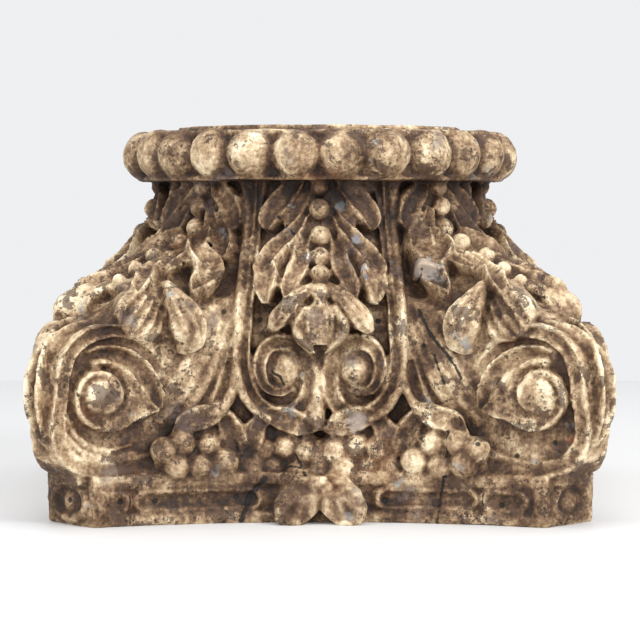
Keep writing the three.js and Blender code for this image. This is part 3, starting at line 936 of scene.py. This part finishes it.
cloud = speckle(tree_, where, 22, 5, 0.6)
grime = speckle(tree_, where, 90, 6, 0.65)
fine = speckle(tree_, where, 320, 4, 0.7)
streak = speckle(tree_, where, 60, 4, 0.6, (1, 1, 0.18))
# open_ is low where a point is shut in; in the tone below it darkens hollows as painted shade and dirt.
open_ = span(tree_, shut_in, 1.1, -0.6)


def about_half(source, weight):
    return maths(tree_, "MULTIPLY", maths(tree_, "SUBTRACT", source, 0.5), weight)


place_z = node(tree_, "ShaderNodeSeparateXYZ")
link(tree_, where, place_z.inputs[0])
# Tone by height: darker at the bottom up to 0.028 m and fading out by 0.06 m, lighter from 0.06 to 0.09 m,
# much darker from 0.19 to 0.245 m under the neck ring as painted shadow and dirt, and lighter again on the
# fillet.
tone_by_height = span(tree_, place_z.outputs["Z"], 0.028, 0.06, -0.07, 0.0)
for low, high, change in ((0.06, 0.09, 0.05), (0.19, 0.245, -0.2), (0.249, 0.256, 0.1)):
    tone_by_height = maths(tree_, "ADD", tone_by_height, span(tree_, place_z.outputs["Z"], low, high, 0.0, change))
# The tone is darker in hollows (open_), as painted shade and dirt, and paler on edges and bulges (edge_in,
# swell_in), as wear and a painted highlight.
tone = 0.46
for part in (about_half(open_, 0.14), maths(tree_, "MULTIPLY", swell_in, 0.01),
             maths(tree_, "MULTIPLY", edge_in, 0.19), about_half(cloud, 1.2), about_half(grime, 0.65),
             about_half(fine, 0.75), about_half(streak, 0.6), tone_by_height):
    tone = maths(tree_, "ADD", part, tone)
# The palest stops are reached on edges, where they serve as worn paint and as a painted highlight.
TONES = [(0.08, (34, 22, 14)), (0.26, (62, 42, 27)), (0.4, (94, 70, 48)), (0.52, (126, 101, 75)),
         (0.66, (164, 139, 108)), (0.84, (212, 192, 158)), (1.0, (236, 222, 194))]
colour = ramp(tree_, tone, [(at, srgb(*shade)) for at, shade in TONES])

bare = span(tree_, speckle(tree_, where, 30, 5, 0.55), 0.6, 0.68)
colour = blend(tree_, maths(tree_, "MULTIPLY", bare, 0.6), colour, srgb(98, 84, 80))
cool = span(tree_, speckle(tree_, where, 41, 4, 0.6), 0.64, 0.7)
cool = maths(tree_, "MULTIPLY", cool, open_)
colour = blend(tree_, maths(tree_, "MULTIPLY", cool, 0.6), colour, srgb(140, 148, 150))
rust = span(tree_, speckle(tree_, where, 17, 5, 0.6), 0.6, 0.72)
colour = blend(tree_, maths(tree_, "MULTIPLY", rust, 0.22), colour, srgb(142, 88, 48))
pits = span(tree_, speckle(tree_, where, 330, 3, 0.7), 0.55, 0.62)
loss = maths(tree_, "ADD", speckle(tree_, where, 46, 6, 0.72), maths(tree_, "MULTIPLY", edge_in, 0.012))
loss = span(tree_, loss, 0.555, 0.57)
colour = blend(tree_, maths(tree_, "MULTIPLY", loss, 0.8), colour, srgb(72, 52, 40))
patch = span(tree_, speckle(tree_, where, 48, 3, 0.6), 0.42, 0.6)
pits = maths(tree_, "MULTIPLY", pits, patch)
colour = blend(tree_, maths(tree_, "MULTIPLY", pits, 0.85), colour, srgb(40, 30, 24))

# %% [markdown]
# Cracks, nail holes and patches sit where they are on the real front; two near-black patches under
# the neck ring are painted shade in a notch that the mesh doesn't cut. Each is given by places in
# the photograph, and a ray from the camera finds the point of the carved surface there. A small
# node group measures the distance to a line between two points, with a wobble, and gives a mask.

# %% Marks on the front
view = camera.rotation_euler.to_matrix()


def seen_at(px, py):
    aim = view @ Vector(((px - PICTURE / 2) / FOCAL, (PICTURE / 2 - py) / FOCAL, -1))
    hit = tree.ray_cast(camera.location, aim.normalized(), 3)[0]
    return hit if hit is not None else Vector((0, 0, -1))


mark = bpy.data.node_groups.new("mark", "ShaderNodeTree")
for name, kind, way in (("Vector", "NodeSocketVector", "INPUT"), ("Start", "NodeSocketVector", "INPUT"),
                        ("End", "NodeSocketVector", "INPUT"), ("Width", "NodeSocketFloat", "INPUT"),
                        ("Wobble", "NodeSocketFloat", "INPUT"), ("Mask", "NodeSocketFloat", "OUTPUT")):
    mark.interface.new_socket(name, in_out=way, socket_type=kind)
given = mark.nodes.new("NodeGroupInput").outputs
result = mark.nodes.new("NodeGroupOutput").inputs


def vector_maths(tree_, operation, a, b):
    made = node(tree_, "ShaderNodeVectorMath", operation=operation)
    link(tree_, a, made.inputs[0])
    if b is not None:
        link(tree_, b, made.inputs["Scale"] if operation == "SCALE" else made.inputs[1])
    return made.outputs["Value"] if operation in ("DOT_PRODUCT", "LENGTH") else made.outputs["Vector"]


away = vector_maths(mark, "SUBTRACT", given["Vector"], given["Start"])
whole = vector_maths(mark, "SUBTRACT", given["End"], given["Start"])
share = maths(mark, "DIVIDE", vector_maths(mark, "DOT_PRODUCT", away, whole),
              maths(mark, "MAXIMUM", vector_maths(mark, "DOT_PRODUCT", whole, whole), 1e-7))
share = maths(mark, "MINIMUM", maths(mark, "MAXIMUM", share, 0.0), 1.0)
gap = vector_maths(mark, "LENGTH", vector_maths(mark, "SUBTRACT", away,
                                                vector_maths(mark, "SCALE", whole, share)), None)
ragged = maths(mark, "MULTIPLY", maths(mark, "SUBTRACT", speckle(mark, given["Vector"], 260, 3, 0.6), 0.5),
               given["Wobble"])
gap = maths(mark, "ADD", gap, ragged)
nearness = maths(mark, "SMOOTH_MIN", maths(mark, "DIVIDE", gap, given["Width"]), 1.0)
link(mark, maths(mark, "SUBTRACT", 1.0, nearness), result["Mask"])

CRACKS = [((411, 296), (420, 313), (429, 331), 1.1), ((429, 331), (437, 343), (446, 353), 1.3),
          ((446, 353), (455, 366), (461, 378), 1.1), ((434, 355), (443, 380), (450, 408), 0.9),
          ((448, 432), (447, 455), (446, 477), 1.3), ((444, 477), (440, 500), (437, 523), 1.3),
          ((422, 269), (421, 275), (418, 282), 0.8), ((265, 479), (250, 496), (241, 521), 2.2),
          ((278, 217), (287, 226), (294, 234), 1.2), ((130, 487), (130, 505), (130, 524), 0.7),
          ((483, 488), (483, 505), (484, 526), 0.7), ((272, 372), (280, 377), (284, 384), 1.0),
          ((296, 455), (301, 465), (306, 476), 1.2), ((283, 470), (290, 466), (300, 468), 1.0)]
HOLES = [(224, 312), (260, 320), (378, 321), (254, 350), (420, 315), (555, 443), (517, 456), (478, 444),
         (70, 500), (120, 502), (155, 501), (236, 497), (502, 505), (424, 346), (385, 500), (300, 437)]


def mask_of(start, end, width, wobble):
    made = node(tree_, "ShaderNodeGroup")
    made.node_tree = mark
    link(tree_, where, made.inputs["Vector"])
    made.inputs["Start"].default_value = start
    made.inputs["End"].default_value = end
    made.inputs["Width"].default_value = width * MM
    made.inputs["Wobble"].default_value = wobble * MM
    return maths(tree_, "MAXIMUM", made.outputs["Mask"], 0.0)


dark = 0.0
for start, middle, end, width in CRACKS:
    for a, b in ((start, middle), (middle, end)):
        dark = maths(tree_, "MAXIMUM", mask_of(seen_at(*a), seen_at(*b), 1.25 * width, 2.6), dark)
for spot in HOLES:
    at = seen_at(*spot)
    dark = maths(tree_, "MAXIMUM", mask_of(at, at, 2.6, 1.2), dark)
dark = span(tree_, dark, 0.05, 0.5)
# The near-black patches at (252, 195) and (263, 203) are painted shade for a notch under the neck ring; the
# others are colour on the wood.
PATCHES = [((424, 268), 13, (178, 166, 154), 0.55), ((363, 268), 5, (176, 184, 192), 0.6),
           ((356, 240), 5, (150, 158, 164), 0.5), ((367, 277), 4, (90, 102, 112), 0.6),
           ((252, 195), 9, (32, 22, 15), 0.85), ((263, 203), 7, (32, 22, 15), 0.8),
           ((571, 440), 3.5, (140, 66, 42), 0.55), ((315, 318), 10, (98, 80, 74), 0.6),
           ((173, 506), 6, (30, 24, 20), 0.6), ((292, 497), 24, (78, 54, 38), 0.5),
           ((345, 505), 14, (84, 60, 44), 0.4), ((215, 470), 14, (72, 52, 38), 0.4),
           ((350, 360), 9, (88, 74, 70), 0.65), ((357, 422), 10, (158, 148, 142), 0.6)]
for spot, width, tint, strength in PATCHES:
    at = seen_at(*spot)
    found = span(tree_, mask_of(at, at, width, width * 1.1), 0.1, 0.45)
    colour = blend(tree_, maths(tree_, "MULTIPLY", found, strength), colour, srgb(*tint))
colour = blend(tree_, maths(tree_, "MULTIPLY", dark, 0.93), colour, srgb(14, 10, 8))
print("marks", len(CRACKS), "cracks", len(HOLES), "holes", len(PATCHES), "patches")
link(tree_, colour, shader.inputs["Base Color"])

# %% Sheen and surface
roughness = maths(tree_, "ADD", 0.52, maths(tree_, "MULTIPLY", grime, 0.3))
link(tree_, roughness, shader.inputs["Roughness"])
shader.inputs["Specular IOR Level"].default_value = 0.35
relief = maths(tree_, "ADD", maths(tree_, "MULTIPLY", grime, 0.8), maths(tree_, "MULTIPLY", streak, 0.5))
for cut, depth in ((pits, 0.5), (dark, 2.0), (loss, 0.35)):
    relief = maths(tree_, "SUBTRACT", relief, maths(tree_, "MULTIPLY", cut, depth))
bump = node(tree_, "ShaderNodeBump")
bump.inputs["Strength"].default_value = 0.55
bump.inputs["Distance"].default_value = 0.0012
link(tree_, relief, bump.inputs["Height"])
link(tree_, bump.outputs["Normal"], shader.inputs["Normal"])
final.materials.clear()
final.materials.append(paint)

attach(piece, "root")
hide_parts("capital")

# %% [markdown]
# ## The studio
# A pale floor and soft light, as in the photograph.

# %% Floor and light
TABLE_EDGE = 1.2
floor_bm = bmesh.new()
bmesh.ops.create_grid(floor_bm, x_segments=1, y_segments=1, size=4)
bmesh.ops.translate(floor_bm, vec=(0, TABLE_EDGE - 4, 0), verts=floor_bm.verts)
floor_mesh = bpy.data.meshes.new("floor")
floor_bm.to_mesh(floor_mesh)
floor_bm.free()
floor = bpy.data.objects.new("floor", floor_mesh)
scene.collection.objects.link(floor)
pale = bpy.data.materials.new("pale_floor")
pale.use_nodes = True
pale.node_tree.nodes["Principled BSDF"].inputs["Base Color"].default_value = (0.72, 0.72, 0.72, 1)
pale.node_tree.nodes["Principled BSDF"].inputs["Roughness"].default_value = 0.6
floor_mesh.materials.append(pale)
floor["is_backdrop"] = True

world = bpy.data.worlds.new("studio")
scene.world = world
world.use_nodes = True
world.node_tree.nodes["Background"].inputs["Color"].default_value = (0.96, 0.965, 0.98, 1)
world.node_tree.nodes["Background"].inputs["Strength"].default_value = 0.9
scene.view_settings.view_transform = "Standard"


def soft_light(name, at, aim, size, power):
    lamp = bpy.data.lights.new(name, "AREA")
    lamp.size = size
    lamp.energy = power
    holder = bpy.data.objects.new(name, lamp)
    scene.collection.objects.link(holder)
    holder.location = at
    holder.rotation_euler = (Vector(aim) - Vector(at)).to_track_quat("-Z", "Y").to_euler()


soft_light("window", (1.2, -1.2, 1.1), (0, 0, 0.15), 0.7, 22)
soft_light("left fill", (-1.3, -1.1, 0.9), (0, 0, 0.12), 0.9, 10)
soft_light("front fill", (0.2, -2.3, 0.7), (0, 0, 0.12), 1.2, 12)
soft_light("top", (0, -0.2, 1.8), (0, 0, 0), 0.9, 9)

# %% The visual box
low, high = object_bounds()
print("visual box in mm", [round(v * 1000, 1) for v in (*low, *high)])
